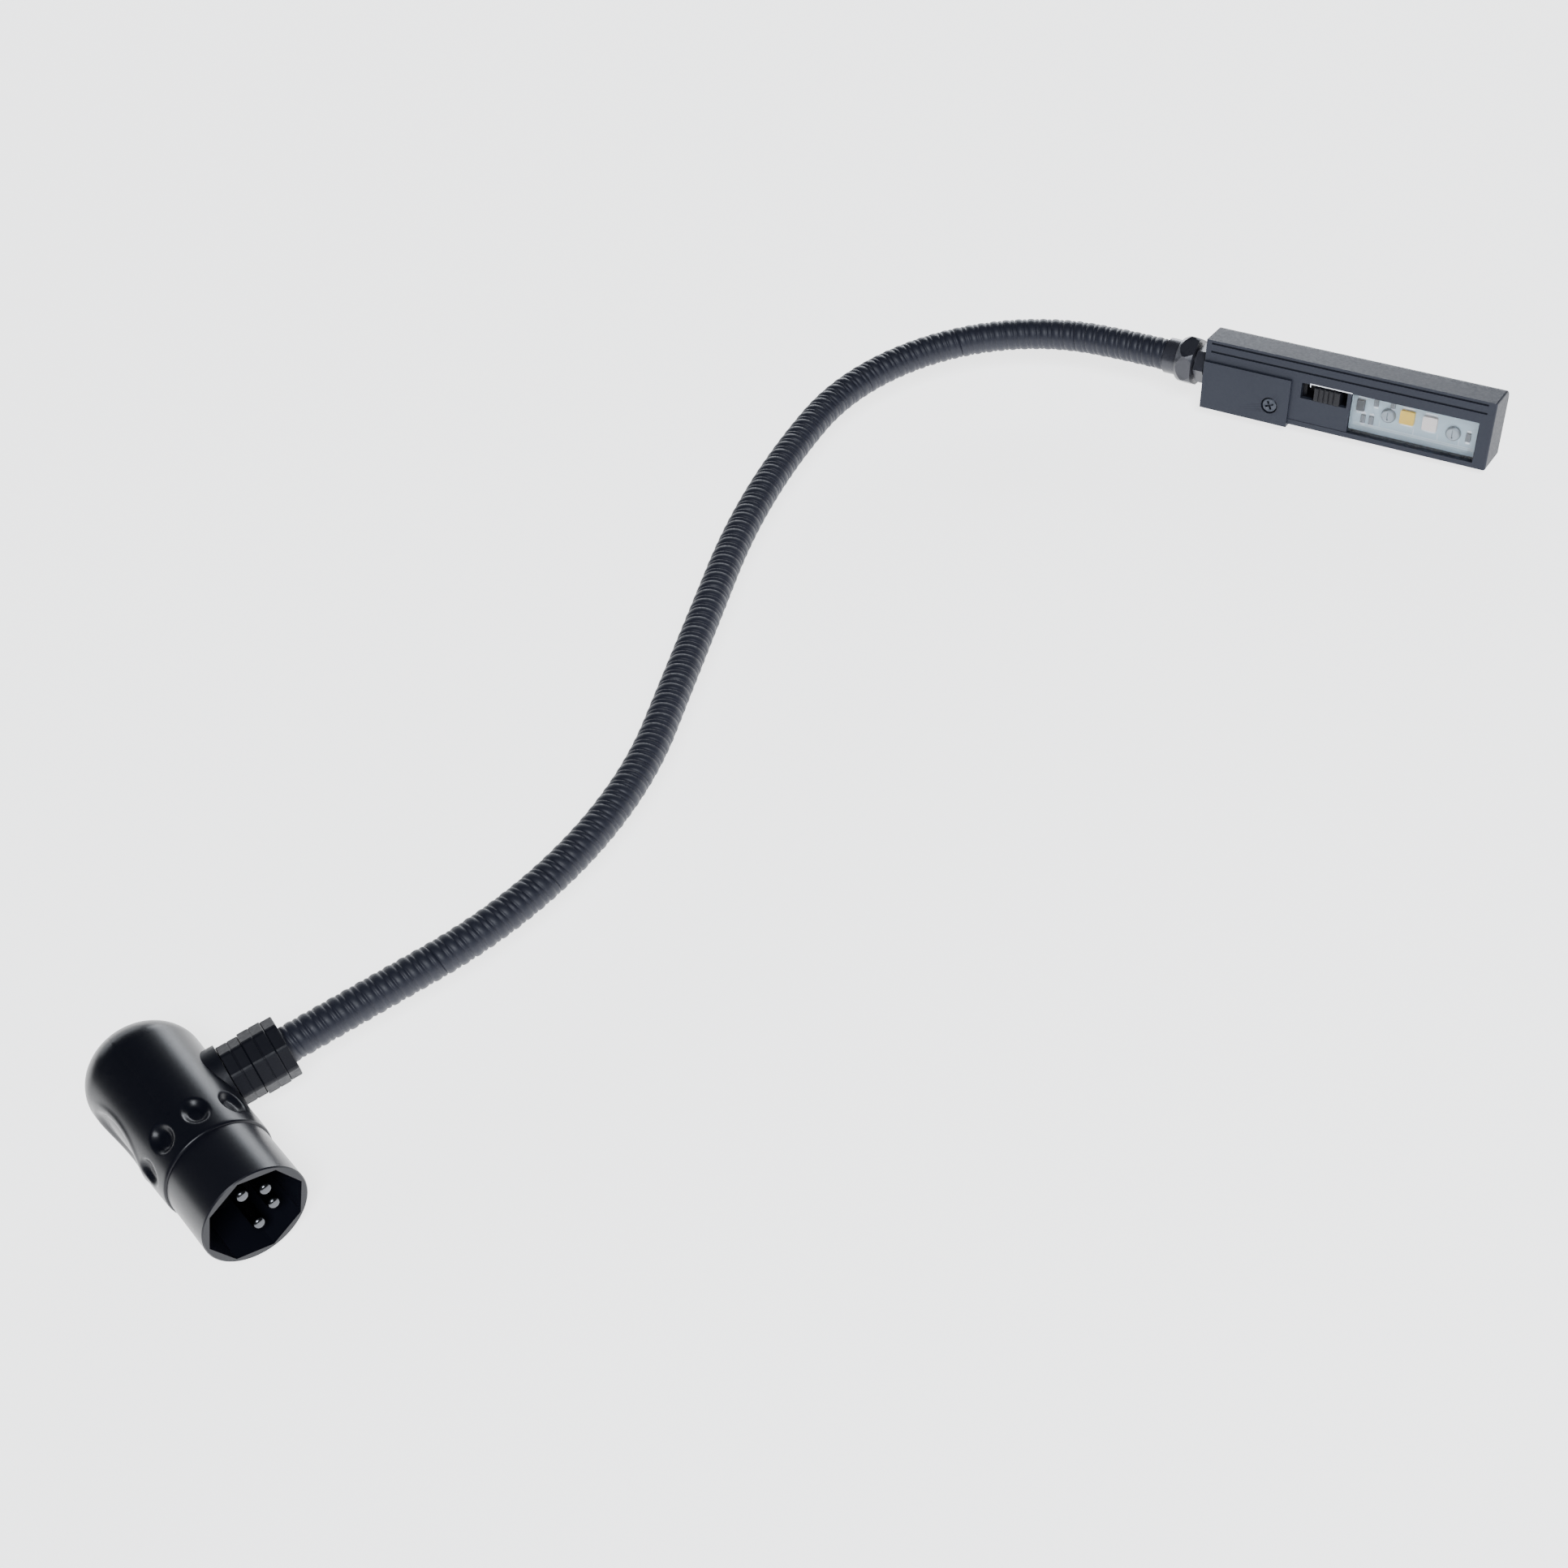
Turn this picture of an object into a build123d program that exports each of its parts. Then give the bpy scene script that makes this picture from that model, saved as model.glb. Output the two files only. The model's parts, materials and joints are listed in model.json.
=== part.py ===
"""Gooseneck task lamp: right-angle four-pin plug, flexible neck and slim LED head, lying on a table.

Frame: the origin is the centre of the plug's open mouth, +X is the way the neck leaves the plug,
-Y is the way the contact pins point and +Z is up. Millimetres.
"""
from build123d import *
import math
import os

os.makedirs("parts", exist_ok=True)

# ---------------------------------------------------------------- driving dimensions
GAP = 0.05                # running clearance, per side

SHELL_R = 9.5             # plug shell, the part that enters the socket
SHELL_LENGTH = 12.4
SPIGOT_R = 8.6            # rear of the shell, inside the barrel
SPIGOT_END = 20.5
MOUTH_CORNER_R = 8.85     # corners of the eight-sided mouth
MOUTH_DEPTH = 11.8
INSERT_R = 7.85
INSERT_END = 18.5
SCREW_SEAT_R = 6.75       # the insert's screw, from the barrel axis
PIN_R = 1.18
PIN_CIRCLE_R = 4.1
PIN_ANGLES = (92, 31, -31, -92)   # about the barrel axis, from +X towards +Z
PIN_TIP = 1.0
CUP_END = 22.5

BARREL_FRONT_R = 9.9
BARREL_REAR_R = 10.65
BARREL_END = 39.5
BARREL_BORE_R = 7.6
DOME_HEIGHT = 9.0
DIMPLE_STEP = 40          # finger dimples round the front of the barrel, degrees
DIMPLE_Y = 17.7
DIMPLE_START = 38         # degrees from +X towards +Z
DIMPLE_SIZE = (2.5, 3.1, 0.9)     # half width, half length, depth
THUMB_ANGLE = 174         # the thumb's rest, degrees from +X towards +Z
THUMB_Y = 29.8

OUTLET_Y = 29.9           # where the neck's axis meets the barrel's, behind the mouth
START_HEADING = -7.8      # degrees, the outlet leans this much towards the mouth
COLLAR_R = 6.35
SPIGOT_OUTLET_R = 4.9
COLLAR_END = 11.0         # along the outlet from the barrel axis
GLAND_SECTIONS = ((11.05, 15.2, 5.35), (15.2, 19.6, 5.6), (19.6, 21.8, 5.45))   # start, end, half across flats
GLAND_GROOVES = (13.2, 15.2, 17.4, 19.6)
FERRULE_START = 3.7       # the neck is held inside the barrel from here

NECK_R = 3.5
NECK_BORE_R = 1.5
CABLE_R = 1.1
LINKS = 10
NECK_RUN = ((50.7, 0.0), (68.3, 43.25), (47.2, 0.0), (53.3, -16.2), (75.5, -91.2), (19.6, 0.0))
# each stretch of the neck's line from the barrel axis: length, and turn to the left in degrees
FIRST_PIVOT = 39.0
TIP_LENGTH = 13.0         # neck beyond the last pivot, up to the tip collar
BALL_R = 3.0
BALL_NECK_R = 2.2
BALL_FRONT = 1.2          # the ball is cut off this far beyond its centre
SHOULDER = 2.0            # a link's tube stops this far before the next pivot
CUP_RIM = 0.5             # and the next tube starts this far beyond it

HEAD_PITCH = -1.48        # degrees, the head droops to the table
HEAD_YAW = -0.6           # and turns this much from the neck's last heading
HEAD_ROLL = -11.5         # degrees about its length
COLLAR_TIP_R = 3.9
NUT_FLATS = 4.9           # half across flats
THIN_NUT_FLATS = 3.7
NIPPLE_R = 3.0
SPINDLE_R = 2.45          # the nipple's end, on which the head turns
HEAD_START = 20.5         # along the head from the last pivot
COVER_END = 40.7
PLATE_END = 54.0
WINDOW_END = 81.4
HOUSING_END = 82.6
HEAD_END = 84.3
HEAD_TOP = 7.65           # half height of the LED face
FACE_N = 3.8              # the face, and the back, either side of the neck's line
BACK_N = -5.2
WALL = 1.2
OPENING_TOP = 2.6         # front opening of the housing
OPENING_BOTTOM = -6.5
COVER_DROP = 0.7          # the rear cover wraps under the housing
BOARD_N = (0.2, 1.2)
SLOT = (42.9, 53.2)
SLOT_BOTTOM = -1.0
KNOB = (45.9, 51.7, 2.3, -0.8)    # start, end, top, bottom at rest
KNOB_TRAVEL = (-2.1, 1.4)
KNOB_BASE = 0.4                   # the knob's foot is this much wider, each side


# ---------------------------------------------------------------- helpers
ALONG_Y = Plane(origin=(0, 0, 0), x_dir=(1, 0, 0), z_dir=(0, 1, 0)).location
BOTTOM = (Align.CENTER, Align.CENTER, Align.MIN)


def rod(radius, start, end):
    """A cylinder about local Z from start to end."""
    return Pos(0, 0, start) * Cylinder(radius, end - start, align=BOTTOM)


def ring(outer, inner, start, end):
    return rod(outer, start, end) - rod(inner, start - 1, end + 1)


def cone(r0, r1, start, end):
    return Pos(0, 0, start) * Cone(r0, r1, end - start, align=BOTTOM)


def prism(sides, half_flats, start, end, turn=0.0):
    corner = half_flats / math.cos(math.pi / sides)
    outline = Plane((0, 0, start)) * Rot(0, 0, turn) * RegularPolygon(corner, sides)
    return extrude(outline, end - start)


def block(u, n, z):
    """A box in the head's directions: u is up its face, n is out of its face, z is along it."""
    size = (u[1] - u[0], n[1] - n[0], z[1] - z[0])
    middle = ((u[0] + u[1]) / 2, (n[0] + n[1]) / 2, (z[0] + z[1]) / 2)
    return Pos(*middle) * Box(*size)


def tube_along(points, radius, bend):
    """A round wire along straight runs joined by tangent arcs."""
    path = FilletPolyline(*points, radius=bend)
    return sweep(Plane(origin=path @ 0, z_dir=path % 0) * Circle(radius), path=path)


def save(node, shape):
    shape.label = node
    export_step(shape, f"parts/{node}.step")


# ---------------------------------------------------------------- the neck's line
def direction(heading):
    angle = math.radians(heading)
    return Vector(math.cos(angle), math.sin(angle), 0)


ALONG_OUTLET = Plane(origin=(0, OUTLET_Y, 0), x_dir=(0, 0, 1), z_dir=direction(START_HEADING)).location


def neck_point(s):
    """Point and heading, in degrees, at distance s from the barrel axis."""
    x, y, heading = 0.0, OUTLET_Y, START_HEADING
    for length, turn in NECK_RUN:
        step = min(s, length)
        bend = math.radians(turn) * step / length
        chord = step if turn == 0 else 2 * step / bend * math.sin(bend / 2)
        middle = math.radians(heading) + bend / 2
        x += chord * math.cos(middle)
        y += chord * math.sin(middle)
        heading += turn * step / length
        s -= step
        if s <= 0:
            break
    return Vector(x, y, 0), heading


def neck_path(start, end):
    """The neck's line between two distances, as straight and round edges."""
    edges = []
    done = 0.0
    for length, turn in NECK_RUN:
        low, high = max(start, done), min(end, done + length)
        if high - low > 1e-6:
            a, heading = neck_point(low)
            b, _ = neck_point(high)
            if turn == 0:
                edges.append(Line(a, b))
            else:
                edges.append(TangentArc(a, b, tangent=direction(heading)))
        done += length
    return Wire(edges)


def neck_sweep(radius, start, end):
    point, heading = neck_point(start)
    section = Plane(origin=point, z_dir=direction(heading)) * Circle(radius)
    return sweep(section, path=neck_path(start, end))


def at_neck(s):
    """Local Z runs along the neck at distance s, local X is up."""
    point, heading = neck_point(s)
    return Plane(origin=point, x_dir=(0, 0, 1), z_dir=direction(heading)).location


NECK_END = sum(length for length, _ in NECK_RUN)
LAST_PIVOT = NECK_END - TIP_LENGTH
PIVOTS = [FIRST_PIVOT + i * (LAST_PIVOT - FIRST_PIVOT) / LINKS for i in range(LINKS + 1)]


def ball(s):
    """The ball end that a length of neck presents at a pivot."""
    end = Sphere(BALL_R) + rod(BALL_NECK_R, -SHOULDER - 0.5, 0)
    end -= rod(BALL_R + 1, BALL_FRONT, BALL_R + 1)
    return at_neck(s) * end


def ball_bore(s):
    return at_neck(s) * cone(NECK_BORE_R - 0.1, BALL_NECK_R, -SHOULDER - 1.2, BALL_FRONT)


def cup(s):
    """What is taken away where the next length of neck sits round the ball."""
    return at_neck(s) * Sphere(BALL_R + 2 * GAP)


# ---------------------------------------------------------------- plug
def plug_shell():
    body = rod(SHELL_R, 0, SHELL_LENGTH) + rod(SPIGOT_R, SHELL_LENGTH, SPIGOT_END)
    body = chamfer(body.edges().sort_by(Axis.Z)[0], 0.2)
    body -= prism(8, MOUTH_CORNER_R * math.cos(math.pi / 8), -1, MOUTH_DEPTH)
    body -= rod(INSERT_R, MOUTH_DEPTH, SPIGOT_END + 1)
    body -= Rot(0, 0, 180) * Pos(SCREW_SEAT_R, 0, 16.0) * Rot(0, 90, 0) * rod(1.0, 0, 4)
    return ALONG_Y * body


def plug_insert():
    body = rod(INSERT_R, MOUTH_DEPTH, INSERT_END)
    for angle in PIN_ANGLES:
        body -= Rot(0, 0, -angle) * Pos(PIN_CIRCLE_R, 0, 0) * rod(PIN_R, MOUTH_DEPTH - 1, INSERT_END + 1)
    screw_hole = rod(0.8, -1.0, 0) + rod(1.0, 0, 3)
    body -= Rot(0, 0, 180) * Pos(SCREW_SEAT_R, 0, 16.0) * Rot(0, 90, 0) * screw_hole
    return ALONG_Y * body


def contact_pins():
    pins = []
    for angle in PIN_ANGLES:
        pin = rod(PIN_R, PIN_TIP, INSERT_END)
        pin = fillet(pin.edges().sort_by(Axis.Z)[0], 0.8)
        pin += ring(PIN_R + 0.2, 0.85, INSERT_END, CUP_END)
        pins.append(ALONG_Y * Rot(0, 0, -angle) * Pos(PIN_CIRCLE_R, 0, 0) * pin)
    return Compound(children=pins)


def insert_screw():
    head = Rot(0, 90, 0) * (rod(1.0, 0, 1.8) + rod(0.8, -0.8, 0))
    head -= Pos(1.8, 0, 0) * Box(0.8, 0.35, 1.6)
    return ALONG_Y * Rot(0, 0, 180) * Pos(SCREW_SEAT_R, 0, 16.0) * head


def barrel_profile_r(y):
    """Outer radius of the barrel, which widens towards its rear."""
    share = (y - SHELL_LENGTH) / (BARREL_END - SHELL_LENGTH)
    return BARREL_FRONT_R + share * (BARREL_REAR_R - BARREL_FRONT_R)


def barrel_solid():
    return cone(BARREL_FRONT_R, BARREL_REAR_R, SHELL_LENGTH, BARREL_END)


def plug_barrel():
    body = barrel_solid()
    body = fillet(body.edges().sort_by(Axis.Z)[0], 0.5)
    body -= rod(SPIGOT_R, SHELL_LENGTH - 1, SPIGOT_END)
    body -= rod(BARREL_BORE_R, SPIGOT_END - 0.5, BARREL_END + 1)
    width, length, depth = DIMPLE_SIZE
    scoop = Pos(barrel_profile_r(DIMPLE_Y), 0, DIMPLE_Y) * scale(Sphere(1), by=(depth, width, length))
    for k in range(360 // DIMPLE_STEP):
        body -= Rot(0, 0, -DIMPLE_START - k * DIMPLE_STEP) * scoop
    thumb = scale(Sphere(1), by=(1.2, 5.0, 8.6))
    body -= Rot(0, 0, -THUMB_ANGLE) * Pos(barrel_profile_r(THUMB_Y) + 0.25, 0, THUMB_Y) * thumb
    body = ALONG_Y * body
    body += ALONG_OUTLET * ring(SPIGOT_OUTLET_R, NECK_R + GAP, 8.0, 14.8)
    body -= ALONG_OUTLET * rod(NECK_R + GAP, 5.8, 15.8)
    return body


def half_egg(radius, height):
    """A dome standing on the barrel's rear edge."""
    egg = Pos(0, 0, BARREL_END) * scale(Sphere(1), by=(radius, radius, height))
    return egg & rod(radius + 1, BARREL_END, BARREL_END + height + 1)


def barrel_end_cap():
    dome = half_egg(BARREL_REAR_R, DOME_HEIGHT) + rod(BARREL_BORE_R - GAP, BARREL_END - 3.5, BARREL_END)
    dome -= rod(BARREL_BORE_R - 1.6, BARREL_END - 4, BARREL_END)
    dome -= half_egg(BARREL_BORE_R - 1.6, DOME_HEIGHT - 2)
    return ALONG_Y * dome


def outlet_collar():
    body = ring(COLLAR_R, SPIGOT_OUTLET_R, 7.5, COLLAR_END)
    body = fillet(body.edges().filter_by(GeomType.CIRCLE).sort_by(Axis.Z)[-1], 0.6)
    return ALONG_OUTLET * body - ALONG_Y * barrel_solid()


def gland_nut():
    body = None
    for start, end, flats in GLAND_SECTIONS:
        section = prism(8, flats, start, end, turn=22.5)
        body = section if body is None else body + section
    for z in GLAND_GROOVES:
        body -= ring(8, 5.5, z - 0.15, z + 0.15)
    body -= rod(SPIGOT_OUTLET_R, GLAND_SECTIONS[0][0] - 1, 14.9)
    body -= rod(SPIGOT_OUTLET_R - 0.4, 14.8, 19.8)
    body -= rod(NECK_R + GAP, 18.8, 22.8)
    return ALONG_OUTLET * body


def strain_relief_collet():
    body = ring(SPIGOT_OUTLET_R - 0.4, NECK_R, 14.9, 19.7)
    for turn in (0, 60, 120):
        body -= Rot(0, 0, turn) * Pos(0, 0, 18.4) * Box(12, 0.5, 3.2)
    return ALONG_OUTLET * body


def neck_base_ferrule():
    tail = FERRULE_START + 0.6
    body = ring(4.2, NECK_R, tail, tail + 2.0) + ring(4.2, NECK_BORE_R, FERRULE_START, tail)
    return ALONG_OUTLET * body


def plug_wires():
    wires = []
    sides = ((0.46, 0.46), (-0.46, 0.46), (-0.46, -0.46), (0.46, -0.46))
    for angle, (dy, dz) in zip(PIN_ANGLES, sides):
        x = PIN_CIRCLE_R * math.cos(math.radians(angle))
        z = PIN_CIRCLE_R * math.sin(math.radians(angle))
        turn, end = [(ALONG_OUTLET * Pos(dz, -dy, s)).position for s in (1.2, FERRULE_START + 1.4)]
        points = [(x, 19.2, z), (x, 23.3, z), turn, end]
        wires.append(tube_along(points, 0.42, 0.9))
    return Compound(children=wires)


# ---------------------------------------------------------------- neck
def neck_root_section():
    body = neck_sweep(NECK_R, FERRULE_START + 0.6, PIVOTS[0] - SHOULDER) + ball(PIVOTS[0])
    body -= neck_sweep(NECK_BORE_R, FERRULE_START, PIVOTS[0] - SHOULDER - 0.4)
    return body - ball_bore(PIVOTS[0])


def neck_link(i):
    start, end = PIVOTS[i], PIVOTS[i + 1]
    body = neck_sweep(NECK_R, start + CUP_RIM, end - SHOULDER) + ball(end)
    body -= cup(start)
    body -= neck_sweep(NECK_BORE_R, start + CUP_RIM, end - SHOULDER - 0.4)
    return body - ball_bore(end)


def neck_cable(i):
    return neck_sweep(CABLE_R, PIVOTS[i] + 1.0, PIVOTS[i + 1] - 1.0)


# ---------------------------------------------------------------- head, along local Z from the last pivot
def head_place():
    point, heading = neck_point(LAST_PIVOT)
    pitch, roll = math.radians(HEAD_PITCH), math.radians(HEAD_ROLL)
    along = direction(heading + HEAD_YAW) * math.cos(pitch) + Vector(0, 0, math.sin(pitch))
    left = Vector(0, 0, 1).cross(along).normalized()
    up = along.cross(left)
    face_up = up * math.cos(roll) - left * math.sin(roll)
    return Plane(origin=point, x_dir=face_up, z_dir=along).location


HEAD = head_place()


def neck_tip_section():
    body = ring(NECK_R, NECK_BORE_R, CUP_RIM, TIP_LENGTH - 1.2) + rod(NECK_R, TIP_LENGTH - 1.2, TIP_LENGTH)
    body -= Sphere(BALL_R + 2 * GAP)
    body -= rod(2.3, TIP_LENGTH - 5, TIP_LENGTH + 1)
    return HEAD * body


def tip_nipple():
    body = rod(2.3, TIP_LENGTH - 4.5, TIP_LENGTH) + rod(NIPPLE_R, TIP_LENGTH, HEAD_START)
    body += rod(SPINDLE_R, HEAD_START, 28.0)
    return HEAD * (body - rod(NECK_BORE_R, 0, 30))


def tip_collar():
    body = ring(COLLAR_TIP_R, NECK_R + GAP, TIP_LENGTH - 2.6, TIP_LENGTH)
    return HEAD * (body + ring(COLLAR_TIP_R, NIPPLE_R, TIP_LENGTH, 13.5))


def lock_nut():
    body = prism(6, NUT_FLATS, 13.6, 17.6) & cone(6.4, 4.8, 13.6, 19.0)
    body = body & cone(4.0, 6.8, 12.4, 17.6)
    return HEAD * (body - rod(NIPPLE_R, 13, 20))


def thin_nut():
    body = prism(6, THIN_NUT_FLATS, 18.0, 20.2, turn=30)
    return HEAD * (body - rod(NIPPLE_R, 17, 21))


def head_outline(start, end, inset=0.0):
    """The housing's section, with a rounded edge at the top of its back."""
    body = block((-HEAD_TOP + inset, HEAD_TOP - inset), (BACK_N + inset, FACE_N - inset), (start, end))
    edge = body.edges().filter_by(Axis.Z).sort_by(Axis.X)[-2:].sort_by(Axis.Y)[0]
    return fillet(edge, 2.4 - inset)


def head_housing():
    body = head_outline(HEAD_START + 1.2, HOUSING_END)
    body -= head_outline(HEAD_START, HOUSING_END + 1, WALL)
    body -= block((OPENING_BOTTOM, OPENING_TOP), (0, FACE_N + 1), (HEAD_START, HEAD_END))
    for u in (5.0, 6.9):
        body -= block((u - 0.22, u + 0.22), (FACE_N - 0.35, FACE_N + 1), (HEAD_START, HEAD_END))
    return HEAD * body


def screw_place(u, z, n):
    """Local Z points out of the head's face."""
    return HEAD * Plane(origin=(u, n, z), x_dir=(1, 0, 0), z_dir=(0, 1, 0)).location


COVER_SCREW = (-4.2, 36.4)
BOARD_SCREWS = ((-1.4, 61.9), (-2.0, 76.0))


def ferrule_block():
    inside = head_outline(HEAD_START + 1.2, COVER_END - 0.9, WALL)
    body = inside + head_outline(HEAD_START, HEAD_START + 1.2)
    body -= rod(SPINDLE_R + GAP, HEAD_START - 1, 28.6)
    body -= rod(2.0, 28, COVER_END)
    body = body - HEAD.inverse() * screw_place(*COVER_SCREW, 0) * rod(0.9, -2.6, 4)
    return HEAD * body


def rear_cover():
    body = block((OPENING_BOTTOM, OPENING_TOP), (FACE_N - WALL, FACE_N), (HEAD_START + 1.2, COVER_END))
    body += block((-HEAD_TOP - COVER_DROP, -HEAD_TOP), (BACK_N, FACE_N + 0.5), (HEAD_START, COVER_END))
    body += block((-HEAD_TOP, OPENING_TOP), (FACE_N, FACE_N + 0.5), (HEAD_START, COVER_END))
    hole = HEAD.inverse() * screw_place(*COVER_SCREW, 0)
    body -= hole * rod(1.05, 2, 6)
    body -= hole * rod(1.85, FACE_N - 0.5, 6)
    return HEAD * body


def cover_screw():
    body = rod(1.7, FACE_N - 0.5, FACE_N + 0.35) + rod(0.9, -2.5, FACE_N - 0.5)
    body = fillet(body.edges().sort_by(Axis.Z)[-1], 0.35)
    for turn in (25, 115):
        body -= Pos(0, 0, FACE_N + 0.35) * Rot(0, 0, turn) * Box(2.0, 0.42, 1.0)
    return screw_place(*COVER_SCREW, 0) * body


def switch_plate():
    body = block((OPENING_BOTTOM, OPENING_TOP), (FACE_N - WALL, FACE_N - 0.1), (COVER_END, PLATE_END))
    body -= block((SLOT_BOTTOM, OPENING_TOP + 1), (0, FACE_N + 1), SLOT)
    return HEAD * body


def window_lens():
    return HEAD * block((OPENING_BOTTOM, OPENING_TOP), (FACE_N - 1.7, FACE_N - 0.7), (PLATE_END, WINDOW_END))


def head_end_cap():
    body = head_outline(HOUSING_END, HEAD_END)
    body = fillet(body.faces().sort_by(Axis.Z)[-1].edges(), 0.4)
    body += block((OPENING_BOTTOM, OPENING_TOP), (FACE_N - WALL, FACE_N), (WINDOW_END, HOUSING_END))
    body += head_outline(HOUSING_END - 1.2, HOUSING_END, WALL)
    return HEAD * body


def led_board():
    body = block((-HEAD_TOP + WALL, HEAD_TOP - WALL), BOARD_N, (41.0, HOUSING_END - 1.5))
    for u, z in BOARD_SCREWS:
        body -= HEAD.inverse() * screw_place(u, z, 0) * rod(0.8, -2, 3)
    body -= block((-3.2, 4.2), (-1, 3), (39, PLATE_END - 0.4))
    return HEAD * body


def surface_led(u, z):
    top = BOARD_N[1]
    body = block((u - 1.5, u + 1.5), (top, top + 0.75), (z - 1.55, z + 1.55))
    return HEAD * fillet(body.edges().filter_by(Axis.Y), 0.25)


def board_screws():
    screws = []
    for u, z in BOARD_SCREWS:
        body = rod(1.6, BOARD_N[1], BOARD_N[1] + 0.8) + rod(0.8, -3.3, BOARD_N[1])
        body = fillet(body.edges().sort_by(Axis.Z)[-1], 0.5)
        body -= Pos(0, 0, BOARD_N[1] + 0.8) * Box(1.8, 0.35, 0.7)
        screws.append(screw_place(u, z, 0) * body)
    return Compound(children=screws)


def board_standoffs():
    posts = [screw_place(u, z, 0) * ring(1.7, 0.8, BACK_N + WALL, BOARD_N[0]) for u, z in BOARD_SCREWS]
    return Compound(children=posts)


def driver_chip():
    top = BOARD_N[1]
    return HEAD * block((-1.6, 0.8), (top, top + 0.7), (54.9, 56.6))


def board_resistors():
    top = BOARD_N[1]
    places = ((-3.4, 56.6), (-3.4, 58.4), (1.0, 59.0), (1.4, 62.6), (-2.2, 79.2))
    parts = [HEAD * block((u - 0.9, u + 0.9), (top, top + 0.5), (z - 0.5, z + 0.5)) for u, z in places]
    return Compound(children=parts)


def switch_body():
    start, end, top, bottom = KNOB
    body = block((-3.1, 4.1), (-2.2, 2.3), (42.4, PLATE_END - 0.5))
    groove = (bottom - KNOB_BASE - GAP, top + KNOB_BASE + GAP)
    body -= block(groove, (0.6, 3), (start + KNOB_TRAVEL[0] - GAP, end + KNOB_TRAVEL[1] + GAP))
    return HEAD * body


def switch_terminals():
    legs = [HEAD * block((u - 0.3, u + 0.3), (-3.7, -2.2), (z - 0.4, z + 0.4))
            for u in (-1.5, 2.5) for z in (44.8, 48.1, 51.4)]
    return Compound(children=legs)


def switch_slider():
    start, end, top, bottom = KNOB
    body = block((bottom, top), (2.4, FACE_N + 0.4), (start, end))
    body = fillet(body.faces().sort_by(Axis.Y)[-1].edges(), 0.25)
    for k in range(4):
        z = start + 1.2 + 1.1 * k
        body -= block((bottom - 1, top + 1), (FACE_N + 0.15, FACE_N + 1), (z - 0.2, z + 0.2))
    body += block((bottom - KNOB_BASE, top + KNOB_BASE), (0.65, 2.4), (start, end))
    return HEAD * body


def head_wires():
    wires = []
    for start_u, end_u in ((0.6, 2.5), (-0.6, -1.5)):
        points = [(start_u, 0.0, 29.4), (start_u, 0.0, 39.6), (end_u, -3.1, 42.3), (end_u, -3.1, 44.4)]
        wires.append(HEAD * tube_along(points, 0.45, 1.5))
    return Compound(children=wires)


# ---------------------------------------------------------------- write every piece
ROOT_PARTS = (plug_shell, plug_insert, contact_pins, insert_screw, plug_barrel, barrel_end_cap, outlet_collar,
              gland_nut, strain_relief_collet, neck_base_ferrule, plug_wires, neck_root_section)
TIP_PARTS = (neck_tip_section, tip_nipple, tip_collar, lock_nut, thin_nut)
HEAD_PARTS = (head_housing, ferrule_block, rear_cover, cover_screw, switch_plate, window_lens, head_end_cap,
              led_board, board_screws, board_standoffs, driver_chip, board_resistors, switch_body,
              switch_terminals, switch_slider, head_wires)
for make in ROOT_PARTS + TIP_PARTS + HEAD_PARTS:
    save(make.__name__, make())
save("neck_root_cable", neck_sweep(CABLE_R, FERRULE_START + 1.4, PIVOTS[0] - 1.0))
for i in range(LINKS):
    save(f"neck_link_{i + 1:02d}", neck_link(i))
    save(f"neck_cable_{i + 1:02d}", neck_cable(i))
save("neck_tip_cable", HEAD * rod(CABLE_R, 1.0, 28.6))
save("warm_led", surface_led(-0.8, 66.0))
save("white_led", surface_led(-1.0, 70.9))

for i, s in enumerate(PIVOTS):
    point, heading = neck_point(s)
    print("pivot", i, [round(v, 4) for v in point], "heading", round(heading, 3))
print("head axis", list(HEAD.z_axis.direction), "face", list(HEAD.y_axis.direction), "up", list(HEAD.x_axis.direction))
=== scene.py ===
"""Looks for the gooseneck plug-in lamp: the coiled neck, materials, lights and camera."""

import json
import math

import bmesh
import bpy
from mathutils import Matrix, Vector


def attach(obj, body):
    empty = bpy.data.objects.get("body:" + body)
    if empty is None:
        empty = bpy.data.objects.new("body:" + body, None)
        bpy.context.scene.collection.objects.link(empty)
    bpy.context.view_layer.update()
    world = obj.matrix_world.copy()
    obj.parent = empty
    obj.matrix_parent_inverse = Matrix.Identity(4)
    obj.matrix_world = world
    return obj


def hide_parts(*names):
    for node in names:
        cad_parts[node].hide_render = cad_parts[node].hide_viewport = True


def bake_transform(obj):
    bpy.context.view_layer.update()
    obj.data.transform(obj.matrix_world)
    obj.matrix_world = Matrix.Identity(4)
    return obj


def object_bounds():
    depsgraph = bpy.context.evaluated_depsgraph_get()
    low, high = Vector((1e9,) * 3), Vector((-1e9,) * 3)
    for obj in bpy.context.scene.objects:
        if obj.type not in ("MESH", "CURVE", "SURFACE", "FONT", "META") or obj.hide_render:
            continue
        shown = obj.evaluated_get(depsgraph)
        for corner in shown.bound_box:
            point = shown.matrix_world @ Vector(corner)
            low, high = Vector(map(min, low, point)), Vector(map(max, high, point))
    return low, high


MM = 0.001

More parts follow.
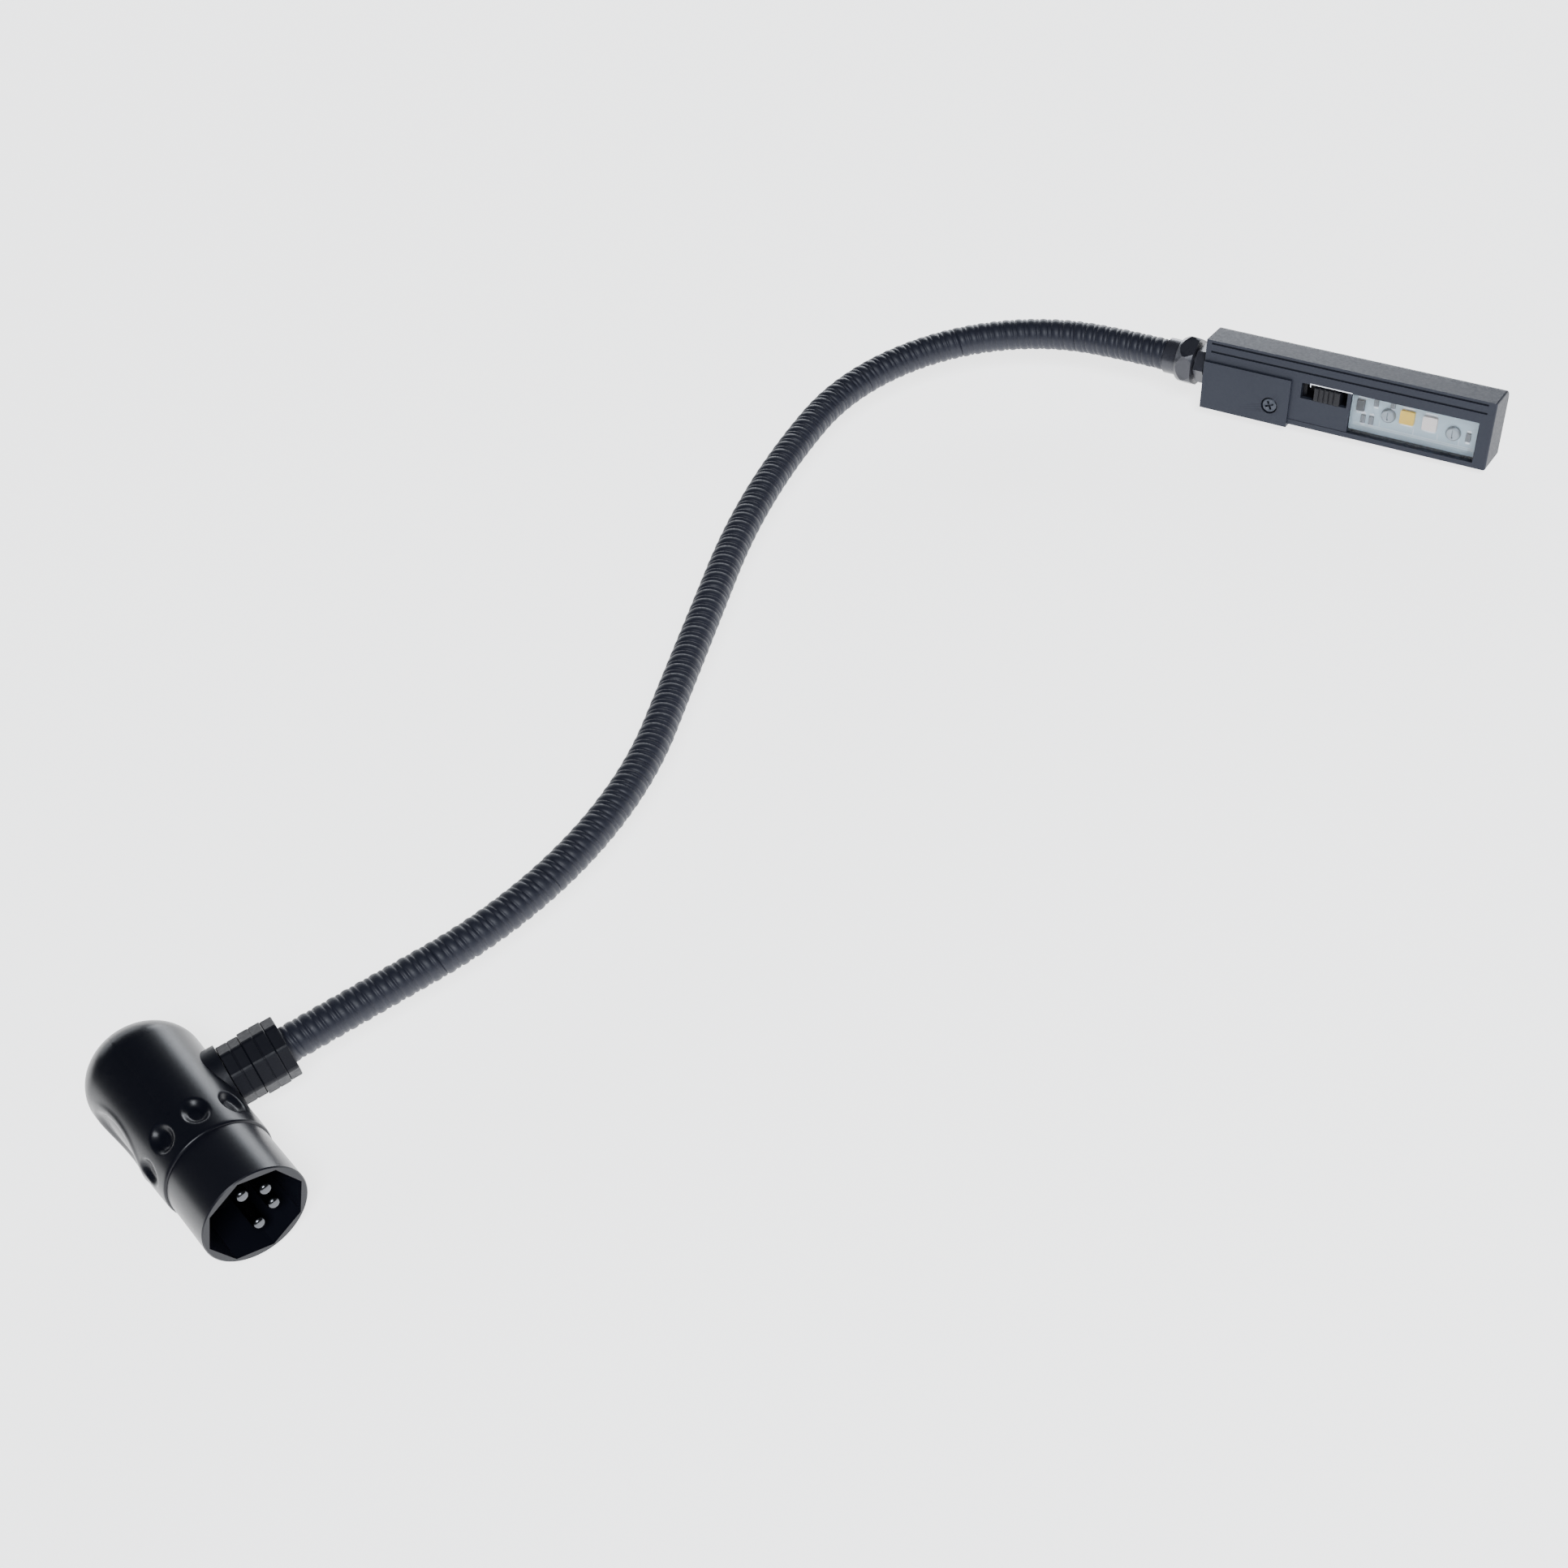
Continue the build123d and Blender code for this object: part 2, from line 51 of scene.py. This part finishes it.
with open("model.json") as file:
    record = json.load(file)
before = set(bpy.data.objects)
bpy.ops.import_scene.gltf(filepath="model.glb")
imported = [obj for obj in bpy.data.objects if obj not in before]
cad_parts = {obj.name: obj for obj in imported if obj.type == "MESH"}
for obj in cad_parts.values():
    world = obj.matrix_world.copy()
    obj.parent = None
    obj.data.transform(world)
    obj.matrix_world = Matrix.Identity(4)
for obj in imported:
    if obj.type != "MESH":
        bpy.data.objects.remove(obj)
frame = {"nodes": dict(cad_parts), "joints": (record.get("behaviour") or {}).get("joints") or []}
cad_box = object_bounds()
nodes = frame["nodes"]
joints = {j["name"]: j for j in frame["joints"]}

# ---------------------------------------------------------------- the neck's line, as the CAD has it
OUTLET_Y = 29.9
START_HEADING = -7.8
# Length in mm and turn in degrees of each straight run or arc.
NECK_RUN = ((50.7, 0.0), (68.3, 43.25), (47.2, 0.0), (53.3, -16.2), (75.5, -91.2), (19.6, 0.0))
FIRST_PIVOT = 39.0
TIP_LENGTH = 13.0
LINKS = 10
NECK_END = sum(length for length, _ in NECK_RUN)
LAST_PIVOT = NECK_END - TIP_LENGTH
LINK = (LAST_PIVOT - FIRST_PIVOT) / LINKS
HEAD_AXIS = Vector(joints["head_swivel"]["axis"]).normalized()


def neck_point(s):
    """Point, heading along the neck and the way to its left, at distance s mm from the barrel's axis."""
    if s > LAST_PIVOT:
        point, _, _ = neck_point(LAST_PIVOT)
        left = Vector((0, 0, 1)).cross(HEAD_AXIS).normalized()
        return point + HEAD_AXIS * (s - LAST_PIVOT), HEAD_AXIS, left
    x, y, heading = 0.0, OUTLET_Y, math.radians(START_HEADING)
    for length, turn in NECK_RUN:
        step = min(s, length)
        bend = math.radians(turn) * step / length
        chord = step if abs(bend) < 1e-9 else 2 * step / bend * math.sin(bend / 2)
        middle = heading + bend / 2
        x += chord * math.cos(middle)
        y += chord * math.sin(middle)
        heading += bend
        s -= step
        if s <= 0:
            break
    along = Vector((math.cos(heading), math.sin(heading), 0))
    return Vector((x, y, 0)), along, Vector((-along.y, along.x, 0))


# ---------------------------------------------------------------- node helpers for materials
def new_material(name):
    mat = bpy.data.materials.new(name)
    mat.use_nodes = True
    return mat, mat.node_tree.nodes, mat.node_tree.links, mat.node_tree.nodes["Principled BSDF"]


def noise(tree_nodes, links, coords, scale, detail=4.0, roughness=0.55):
    node = tree_nodes.new("ShaderNodeTexNoise")
    node.inputs["Scale"].default_value = scale
    node.inputs["Detail"].default_value = detail
    node.inputs["Roughness"].default_value = roughness
    links.new(coords.outputs["Object"], node.inputs["Vector"])
    return node.outputs["Fac"]


def ramp(tree_nodes, links, source, stops):
    """A colour ramp: stops are (position, grey or colour)."""
    node = tree_nodes.new("ShaderNodeValToRGB")
    elements = node.color_ramp.elements
    while len(elements) < len(stops):
        elements.new(0.5)
    for element, (position, value) in zip(elements, stops):
        element.position = position
        element.color = (*value, 1) if isinstance(value, tuple) else (value, value, value, 1)
    links.new(source, node.inputs["Fac"])
    return node.outputs["Color"]


def mix_colour(tree_nodes, links, factor, a, b):
    node = tree_nodes.new("ShaderNodeMix")
    node.data_type = "RGBA"
    for socket, value in ((node.inputs[6], a), (node.inputs[7], b)):
        if isinstance(value, tuple):
            socket.default_value = (*value, 1)
        else:
            links.new(value, socket)
    links.new(factor, node.inputs[0])
    return node.outputs[2]


def bump(tree_nodes, links, height, strength, distance):
    node = tree_nodes.new("ShaderNodeBump")
    node.inputs["Strength"].default_value = strength
    node.inputs["Distance"].default_value = distance
    links.new(height, node.inputs["Height"])
    return node.outputs["Normal"]


def surface(name, colour, worn, rough, metallic=0.0, grain=900.0, relief=0.00003, wear=0.0, specular=0.5):
    """A painted, moulded or metal finish: cloudy colour, uneven gloss, fine grain and rubbed edges."""
    mat, tree_nodes, links, shader = new_material(name)
    coords = tree_nodes.new("ShaderNodeTexCoord")
    clouds = noise(tree_nodes, links, coords, 60.0)
    fine = noise(tree_nodes, links, coords, grain, 3.0, 0.6)
    lighter = tuple(min(1.0, c * 1.25 + 0.002) for c in colour)
    tone = mix_colour(tree_nodes, links, clouds, colour, lighter)
    if wear:
        edges = tree_nodes.new("ShaderNodeNewGeometry").outputs["Pointiness"]
        edge = ramp(tree_nodes, links, edges, ((0.505, 0.0), (0.56, wear)))
        tone = mix_colour(tree_nodes, links, edge, tone, worn)
    links.new(tone, shader.inputs["Base Color"])
    low, high = rough
    links.new(ramp(tree_nodes, links, fine, ((0.3, low), (0.7, high))), shader.inputs["Roughness"])
    links.new(bump(tree_nodes, links, fine, 0.35, relief), shader.inputs["Normal"])
    shader.inputs["Metallic"].default_value = metallic
    shader.inputs["Specular IOR Level"].default_value = specular
    return mat


def clear(name, tint, rough):
    """A clear plastic or glass with a faint uneven haze."""
    mat, tree_nodes, links, shader = new_material(name)
    coords = tree_nodes.new("ShaderNodeTexCoord")
    haze = noise(tree_nodes, links, coords, 250.0)
    uneven = ramp(tree_nodes, links, haze, ((0.35, rough), (0.75, rough + 0.06)))
    links.new(uneven, shader.inputs["Roughness"])
    shader.inputs["Base Color"].default_value = (*tint, 1)
    shader.inputs["Transmission Weight"].default_value = 1.0
    shader.inputs["IOR"].default_value = 1.3
    return mat


BLACK_PLASTIC = surface("black_plastic", (0.0022, 0.0026, 0.0060), (0.03, 0.03, 0.04), (0.29, 0.33),
                        grain=1400, relief=0.000005, specular=0.28)
SHELL = surface("black_shell", (0.0026, 0.0030, 0.0065), (0.04, 0.04, 0.05), (0.29, 0.33), grain=1800,
                relief=0.000005, wear=0.05, specular=0.30)
GLAND_PLASTIC = surface("gland_plastic", (0.0040, 0.0045, 0.0080), (0.03, 0.03, 0.04), (0.42, 0.52),
                        grain=1400, relief=0.00001, specular=0.16)
INSULATOR = surface("insulator", (0.002, 0.002, 0.004), (0.02, 0.02, 0.02), (0.5, 0.65), specular=0.2)
PINS = surface("pins", (0.075, 0.078, 0.085), (0.8, 0.8, 0.8), (0.18, 0.26), metallic=1.0, grain=2500,
               relief=0.00001)
TIN = surface("tin", (0.62, 0.64, 0.68), (0.8, 0.8, 0.8), (0.3, 0.45), metallic=0.6, grain=1500)
SCREW = surface("screw", (0.025, 0.030, 0.042), (0.3, 0.3, 0.32), (0.3, 0.45), metallic=0.6, wear=0.1)
BOARD_SCREW = surface("board_screw", (0.22, 0.25, 0.28), (0.5, 0.5, 0.5), (0.3, 0.45), metallic=0.6)
COIL = surface("coil_paint", (0.0125, 0.0140, 0.0230), (0.04, 0.04, 0.05), (0.42, 0.54), grain=2200,
               relief=0.00001, specular=0.30)
TIP_STEEL = surface("tip_steel", (0.010, 0.011, 0.017), (0.2, 0.2, 0.23), (0.26, 0.38), metallic=0.2,
                    wear=0.1)
CABLE = surface("cable", (0.01, 0.01, 0.01), (0.02, 0.02, 0.02), (0.6, 0.7))
WIRE = surface("wire", (0.35, 0.03, 0.02), (0.4, 0.1, 0.1), (0.45, 0.6))
HEAD_METAL = surface("head_metal", (0.0095, 0.0118, 0.0205), (0.10, 0.11, 0.14), (0.46, 0.58), grain=1600,
                     relief=0.00002, wear=0.1, specular=0.22)
SWITCH = surface("switch_plastic", (0.003, 0.0032, 0.006), (0.03, 0.03, 0.04), (0.45, 0.6), specular=0.3)
BOARD = surface("board_mask", (0.46, 0.58, 0.66), (0.7, 0.75, 0.8), (0.35, 0.5), grain=700)
TRACE = surface("board_trace", (0.66, 0.74, 0.79), (0.7, 0.75, 0.8), (0.35, 0.5), grain=700)
CHIP = surface("chip", (0.02, 0.022, 0.03), (0.1, 0.1, 0.1), (0.5, 0.6))
RESISTOR = surface("resistor", (0.12, 0.13, 0.15), (0.2, 0.2, 0.2), (0.4, 0.5))
YELLOW = surface("yellow_phosphor", (1.0, 0.55, 0.02), (1.0, 0.8, 0.3), (0.4, 0.5), grain=3000)
PALE = surface("pale_phosphor", (0.95, 0.76, 0.72), (0.9, 0.9, 0.9), (0.4, 0.5), grain=3000)
WINDOW = clear("window_clear", (0.95, 0.98, 1.0), 0.02)

NODE_MATERIALS = {
    "plug_barrel": BLACK_PLASTIC, "barrel_end_cap": BLACK_PLASTIC, "outlet_collar": GLAND_PLASTIC,
    "gland_nut": GLAND_PLASTIC, "plug_shell": SHELL, "plug_insert": INSULATOR, "contact_pins": PINS,
    "insert_screw": SCREW, "strain_relief_collet": INSULATOR, "neck_base_ferrule": SCREW, "plug_wires": WIRE,
    "tip_nipple": TIP_STEEL, "tip_collar": TIP_STEEL, "lock_nut": TIP_STEEL, "thin_nut": TIP_STEEL,
    "head_housing": HEAD_METAL, "ferrule_block": HEAD_METAL, "rear_cover": HEAD_METAL, "cover_screw": SCREW,
    "switch_plate": HEAD_METAL, "window_lens": WINDOW, "head_end_cap": HEAD_METAL, "led_board": BOARD,
    "board_screws": BOARD_SCREW, "board_standoffs": PINS, "driver_chip": CHIP, "board_resistors": RESISTOR,
    "switch_body": SWITCH, "switch_terminals": PINS, "switch_slider": SWITCH, "head_wires": WIRE,
    "warm_led": YELLOW, "white_led": PALE,
}
for name, obj in nodes.items():
    if name.startswith(("neck_link", "neck_root_section", "neck_tip_section")):
        material = COIL
    elif "cable" in name:
        material = CABLE
    else:
        material = NODE_MATERIALS[name]
    obj.data.materials.clear()
    obj.data.materials.append(material)

# ---------------------------------------------------------------- making meshes
def add_mesh(name, verts, faces, material):
    """A new object from points in metres."""
    mesh = bpy.data.meshes.new(name)
    mesh.from_pydata(verts, [], faces)
    mesh.materials.append(material)
    obj = bpy.data.objects.new(name, mesh)
    bpy.context.scene.collection.objects.link(obj)
    return obj


def weld(obj, turn_outward=False):
    """Joins points that lie in one place, such as the seam where a strip closes on itself."""
    joined = bmesh.new()
    joined.from_mesh(obj.data)
    bmesh.ops.remove_doubles(joined, verts=joined.verts, dist=1e-7)
    if turn_outward:
        bmesh.ops.recalc_face_normals(joined, faces=joined.faces)
    joined.to_mesh(obj.data)
    joined.free()


def shade_smooth(obj):
    for polygon in obj.data.polygons:
        polygon.use_smooth = True


# ---------------------------------------------------------------- the coiled neck
PITCH = 2.8              # mm from one turn of the coil to the next
SEGMENTS = 32            # round each turn
OUTER = 3.48
VALLEY = 3.12
STRANDS = 14             # lines along the wire's profile in one pitch
ROUND_WIRE = 0.62        # the round wire's share of a pitch; the narrow wire has the rest
NARROW_SUNK = 0.08       # how far the narrow wire's crown lies below the round wire's
COIL_START = 15.0        # inside the gland nut
COIL_PAST_PIVOT = 9.5    # how far the coil runs on past the last pivot, into the tip collar
BEND_SHARE = 0.36        # share of a link, each side of a pivot, at which the points start and end are found; nothing uses them


def wire_profile():
    """Radius across one pitch: a round wire, then the narrower three-sided wire between its turns."""
    radii = []
    for k in range(STRANDS):
        share = k / STRANDS
        if share < ROUND_WIRE:
            across = share / (ROUND_WIRE / 2) - 1
            radii.append(VALLEY + (OUTER - VALLEY) * math.sqrt(max(0.0, 1 - across * across)))
        else:
            across = abs((share - ROUND_WIRE) / ((1 - ROUND_WIRE) / 2) - 1)
            radii.append(VALLEY + (OUTER - NARROW_SUNK - VALLEY) * (1 - across ** 2.5))
    return radii


PROFILE = wire_profile()


def coil_piece(name, first, last):
    """The coil's skin from strand line first to last; where a turn ends its lines meet the next turn's."""
    verts = []
    step = PITCH / STRANDS
    columns = SEGMENTS + 1
    for n in range(first, last + 1):
        radius = PROFILE[n % STRANDS]
        for i in range(columns):
            s = (n + i * STRANDS / SEGMENTS) * step
            point, _, left = neck_point(s)
            up = Vector((0, 0, 1)) if s <= LAST_PIVOT else HEAD_AXIS.cross(left)
            angle = 2 * math.pi * i / SEGMENTS
            verts.append(tuple((point + (left * math.cos(angle) + up * math.sin(angle)) * radius) * MM))
    faces = []
    for n in range(last - first):
        for i in range(SEGMENTS):
            a = n * columns + i
            faces.append((a, a + 1, a + 1 + columns, a + columns))
    obj = add_mesh(name, verts, faces, COIL)
    weld(obj)
    shade_smooth(obj)
    return obj


# The coil is cut half a pitch short of each link's middle, so that every pivot falls inside a piece.
link_cuts = [FIRST_PIVOT + LINK * (k + 0.5) - PITCH / 2 for k in range(LINKS)]
cuts = [COIL_START] + link_cuts + [LAST_PIVOT + COIL_PAST_PIVOT]
lines = [round(cut / PITCH) * STRANDS for cut in cuts]
for k in range(LINKS + 1):
    piece = coil_piece(f"neck_coil_{k + 1:02d}", lines[k], lines[k + 1])
    pivot = FIRST_PIVOT + LINK * k
    start = neck_point(pivot - LINK * BEND_SHARE)[0] * MM
    end = neck_point(pivot + LINK * BEND_SHARE)[0] * MM
    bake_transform(piece)
    if k == 0:
        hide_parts("neck_root_section")
    else:
        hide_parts(f"neck_link_{k:02d}")
    if k == LINKS:
        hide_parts("neck_tip_section")

# ---------------------------------------------------------------- the plug's moulded skins
FRONT_Y = 12.4
FRONT_R = 9.9
REAR_Y = 39.5
REAR_R = 10.65
DOME = 9.0
FRONT_ROUND = 0.5
WALL_STEPS = 90
DOME_STEPS = 30
SKIN_INSET = 0.01        # keeps raised places inside the barrel's largest radius
ARC = math.radians(1) * 10.2     # mm round the barrel's wall for one degree
DIMPLES = [38 + 40 * k for k in range(9)]     # degrees from +X towards +Z
DIMPLE_Y = 17.7
DIMPLE_ACROSS = 2.5      # half the width round the barrel
DIMPLE_ALONG = 3.1       # half the length along it
DIMPLE_DEPTH = 1.05
THUMB_ANGLE = 174
THUMB_Y = 29.8
THUMB_ACROSS = 4.6
THUMB_ALONG = 8.3
THUMB_DEPTH = 0.95
RIM_HEIGHT = 0.12        # of the raised lip round the thumb recess
RIDGE_ANGLE = 99         # the moulding's parting line, a low ridge
RIDGE_HALF_WIDTH = 0.8   # degrees
RIDGE_FROM = 20.5
RIDGE_TO = 44
RIDGE_HEIGHT = 0.12


def smooth_step(value):
    value = min(1.0, max(0.0, value))
    return value * value * (3 - 2 * value)


def apart(a, b):
    """Smallest difference between two angles, in degrees."""
    return (a - b + 180) % 360 - 180


def barrel_relief(angle, y):
    """How far the barrel's skin stands off its plain round form, mm."""
    off = 0.0
    for centre in DIMPLES:
        span = (apart(angle, centre) * ARC / DIMPLE_ACROSS) ** 2 + ((y - DIMPLE_Y) / DIMPLE_ALONG) ** 2
        off -= DIMPLE_DEPTH * smooth_step(1.15 * (1 - span))
    across = apart(angle, THUMB_ANGLE) * ARC / THUMB_ACROSS
    span = math.sqrt(across ** 2 + ((y - THUMB_Y) / THUMB_ALONG) ** 2)
    off -= THUMB_DEPTH * smooth_step((1 - span) * 3.0)
    off += RIM_HEIGHT * math.exp(-((span - 1.12) / 0.1) ** 2)
    if abs(apart(angle, RIDGE_ANGLE)) < RIDGE_HALF_WIDTH and RIDGE_FROM < y < RIDGE_TO:
        off += RIDGE_HEIGHT
    return off


def skin(name, rings, columns, place, material):
    """A skin of the plug's plastic that closes on itself; place(angle, ring) gives each point in mm."""
    verts = []
    for ring in rings:
        for i in range(columns):
            verts.append(tuple(place(360.0 * i / columns, ring) * MM))
    faces = []
    for r in range(len(rings) - 1):
        for i in range(columns):
            a, b = r * columns + i, r * columns + (i + 1) % columns
            faces.append((a, a + columns, b + columns, b))
    obj = add_mesh(name, verts, faces, material)
    weld(obj, turn_outward=True)
    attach(obj, "plug")
    return obj


def barrel_rings():
    """(y, radius) down the barrel: rolled front edge, widening wall, then the dome."""
    rings = []
    for k in range(6):
        turn = math.radians(18 * k)
        y = FRONT_Y + FRONT_ROUND * (1 - math.cos(turn))
        rings.append((y, FRONT_R - FRONT_ROUND * (1 - math.sin(turn))))
    wall_start = FRONT_Y + FRONT_ROUND
    for k in range(1, WALL_STEPS + 1):
        y = wall_start + k / WALL_STEPS * (REAR_Y - wall_start)
        rings.append((y, FRONT_R + (y - FRONT_Y) / (REAR_Y - FRONT_Y) * (REAR_R - FRONT_R)))
    for k in range(1, DOME_STEPS + 1):
        turn = math.radians(90 * k / DOME_STEPS)
        rings.append((REAR_Y + DOME * math.sin(turn), REAR_R * math.cos(turn)))
    return rings


def barrel_point(angle, ring):
    y, radius = ring
    relief = barrel_relief(angle, y) * min(1.0, radius / 5)
    radius = min(radius + relief, REAR_R - SKIN_INSET)
    turn = math.radians(angle)
    return Vector((radius * math.cos(turn), y, radius * math.sin(turn)))


barrel_skin = skin("barrel_skin", barrel_rings(), 240, barrel_point, BLACK_PLASTIC)
shade_smooth(barrel_skin)
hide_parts("plug_barrel", "barrel_end_cap")

GLAND = ((11.05, 15.2, 5.35), (15.2, 19.6, 5.6), (19.6, 21.8, 5.45))     # start, end, half across flats
GLAND_BEVEL = 0.15
GLAND_SEAMS = (13.2, 17.4)
SEAM_DEPTH = 0.10
SEAM_TOP = 0.18          # half the seam's width at the surface
SEAM_FOOT = 0.08         # and at its foot
CORNER_CUT = 1.062       # the corners stop at this many times half the width across flats


def gland_rings():
    """(place along the neck, half across flats, whether it has corners) from the collar outward."""
    rings = [(GLAND[0][0], 4.6, False)]
    for start, end, flats in GLAND:
        rings += [(start, flats - GLAND_BEVEL, True), (start + GLAND_BEVEL, flats, True)]
        for seam in GLAND_SEAMS:
            if start < seam < end:
                rings += [(seam - SEAM_TOP, flats, True), (seam - SEAM_FOOT, flats - SEAM_DEPTH, True),
                          (seam + SEAM_FOOT, flats - SEAM_DEPTH, True), (seam + SEAM_TOP, flats, True)]
        rings += [(end - GLAND_BEVEL, flats, True), (end, flats - GLAND_BEVEL, True)]
    return rings + [(GLAND[-1][1], 3.5, False)]


def gland_point(angle, ring):
    distance, flats, has_corners = ring
    from_flat = angle % 45 - 22.5
    radius = flats
    if has_corners:
        radius = min(flats / math.cos(math.radians(from_flat)), flats * CORNER_CUT)
    foot, _, left = neck_point(distance)
    turn = math.radians(angle)
    return foot + (left * math.cos(turn) + Vector((0, 0, 1)) * math.sin(turn)) * radius


gland_skin = skin("gland_skin", gland_rings(), 96, gland_point, GLAND_PLASTIC)
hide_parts("gland_nut")

# ---------------------------------------------------------------- small flat things on the head
HEAD_ROLL = math.radians(-11.5)
HEAD_LEFT = Vector((0, 0, 1)).cross(HEAD_AXIS).normalized()
FACE_UP = HEAD_AXIS.cross(HEAD_LEFT) * math.cos(HEAD_ROLL) - HEAD_LEFT * math.sin(HEAD_ROLL)
FACE_OUT = HEAD_AXIS.cross(FACE_UP)
HEAD_FOOT = neck_point(LAST_PIVOT)[0]


def head_boxes(name, boxes, material):
    """One piece of plain boxes, each ((up from, to), (out from, to), (along from, to)) in mm on the head."""
    verts = []
    faces = []
    for ups, outs, alongs in boxes:
        base = len(verts)
        for u in ups:
            for n in outs:
                for z in alongs:
                    verts.append(tuple((HEAD_FOOT + FACE_UP * u + FACE_OUT * n + HEAD_AXIS * z) * MM))
        for face in ((0, 1, 3, 2), (4, 6, 7, 5), (0, 4, 5, 1), (2, 3, 7, 6), (0, 2, 6, 4), (1, 5, 7, 3)):
            faces.append(tuple(base + corner for corner in face))
    obj = add_mesh(name, verts, faces, material)
    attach(obj, "head")
    return obj


# Places on the board are (up, along) in mm.
BOARD_TOP = 1.2
LED_PLACES = ((-0.8, 66.0), (-1.0, 70.9))
SMALL_PART_PLACES = ((-3.4, 56.6), (-3.4, 58.4), (1.0, 59.0), (1.4, 62.6), (-2.2, 79.2))
CHIP_START = 55.0
CHIP_LEG_STEP = 0.5
CHIP_LEG_ROWS = (-2.1, 1.3)
LONG_TRACES = (-4.7, -5.1, 2.2)
SHORT_TRACES = (60.2, 67.6, 72.8, 77.4)
# How far out, in mm, lies the thin strip painted as a highlight on the switch slot's edge.
SLOT_HIGHLIGHT_OUT = (3.7, 3.84)


def on_board(thickness):
    return BOARD_TOP, BOARD_TOP + thickness


pads = []
for u, z in LED_PLACES:
    for side in (-1, 1):
        pads.append(((u + side * 1.55, u + side * 2.15), on_board(0.06), (z - 1.3, z + 1.3)))
for u, z in SMALL_PART_PLACES:
    for side in (-1, 1):
        pads.append(((u + side * 0.95, u + side * 1.5), on_board(0.1), (z - 0.45, z + 0.45)))
for k in range(4):
    z = CHIP_START + CHIP_LEG_STEP * k
    for u in CHIP_LEG_ROWS:
        pads.append(((u - 0.35, u + 0.35), on_board(0.08), (z, z + 0.25)))
head_boxes("board_pads", pads, TIN)

traces = [((u - 0.12, u + 0.12), on_board(0.02), (54.5, 80.6)) for u in LONG_TRACES]
traces += [((-4.7, -3.2), on_board(0.02), (z - 0.1, z + 0.1)) for z in SHORT_TRACES]
head_boxes("board_traces", traces, TRACE)

# A thin bright tin-coloured strip along the slot's upper long edge and the top of one end: a painted
# highlight where light catches the slot's edge.
slot_long_side_highlight = ((2.62, 2.84), SLOT_HIGHLIGHT_OUT, (45.0, 54.2))
slot_short_side_highlight = ((2.0, 2.84), SLOT_HIGHLIGHT_OUT, (44.8, 45.0))
head_boxes("slot_edge_painted_highlight", [slot_long_side_highlight, slot_short_side_highlight], TIN)

# ---------------------------------------------------------------- floor, lights and camera
FLOOR_GAP = 0.0001       # metres under the lamp
FLOOR_Z = cad_box[0].z - FLOOR_GAP
bpy.ops.mesh.primitive_plane_add(size=6, location=(0.15, 0.05, FLOOR_Z))
floor = bpy.context.object
floor.name = "floor"
floor_mat, _, _, floor_shader = new_material("floor_white")
floor_shader.inputs["Base Color"].default_value = (0.96, 0.96, 0.96, 1)
floor_shader.inputs["Roughness"].default_value = 0.8
floor_shader.inputs["Specular IOR Level"].default_value = 0.2
floor_shader.inputs["Emission Color"].default_value = (1, 1, 1, 1)
floor_shader.inputs["Emission Strength"].default_value = 2.4
floor.data.materials.append(floor_mat)

world = bpy.data.worlds.new("studio")
bpy.context.scene.world = world
world.use_nodes = True
world.node_tree.nodes["Background"].inputs["Color"].default_value = (1, 1, 1, 1)
world.node_tree.nodes["Background"].inputs["Strength"].default_value = 0.05

VIEW_RIGHT = Vector((0.75365, -0.63824, -0.15700))
VIEW_UP = Vector((0.54635, 0.47560, 0.68940))
VIEW_BACK = Vector((-0.36536, -0.60541, 0.70710))
CAMERA = Vector((-17.752, -222.182, 269.3)) * MM
LENS = 46.63


def softbox(name, place, target, size, power):
    light = bpy.data.lights.new(name, "AREA")
    light.shape = "RECTANGLE"
    light.size, light.size_y = size
    light.energy = power
    light.color = (0.90, 0.94, 1.0)
    obj = bpy.data.objects.new(name, light)
    bpy.context.scene.collection.objects.link(obj)
    obj.location = place
    obj.rotation_euler = (Vector(target) - Vector(place)).to_track_quat("-Z", "Y").to_euler()


MIDDLE = (0.14, 0.05, 0.0)
softbox("key", (1.00, 0.80, 0.18), MIDDLE, (0.9, 0.4), 11.0)
softbox("back", (0.05, 1.20, 0.25), MIDDLE, (1.0, 0.3), 3.0)
softbox("front", (-0.25, -0.75, 1.05), MIDDLE, (0.6, 0.5), 20.0)

camera_data = bpy.data.cameras.new("camera")
camera_data.sensor_width = 36.0
camera_data.lens = LENS
camera_data.clip_start = 0.01
camera = bpy.data.objects.new("camera", camera_data)
bpy.context.scene.collection.objects.link(camera)
turn = Matrix((VIEW_RIGHT, VIEW_UP, VIEW_BACK)).transposed()
camera.matrix_world = Matrix.Translation(CAMERA) @ turn.to_4x4()
bpy.context.scene.camera = camera
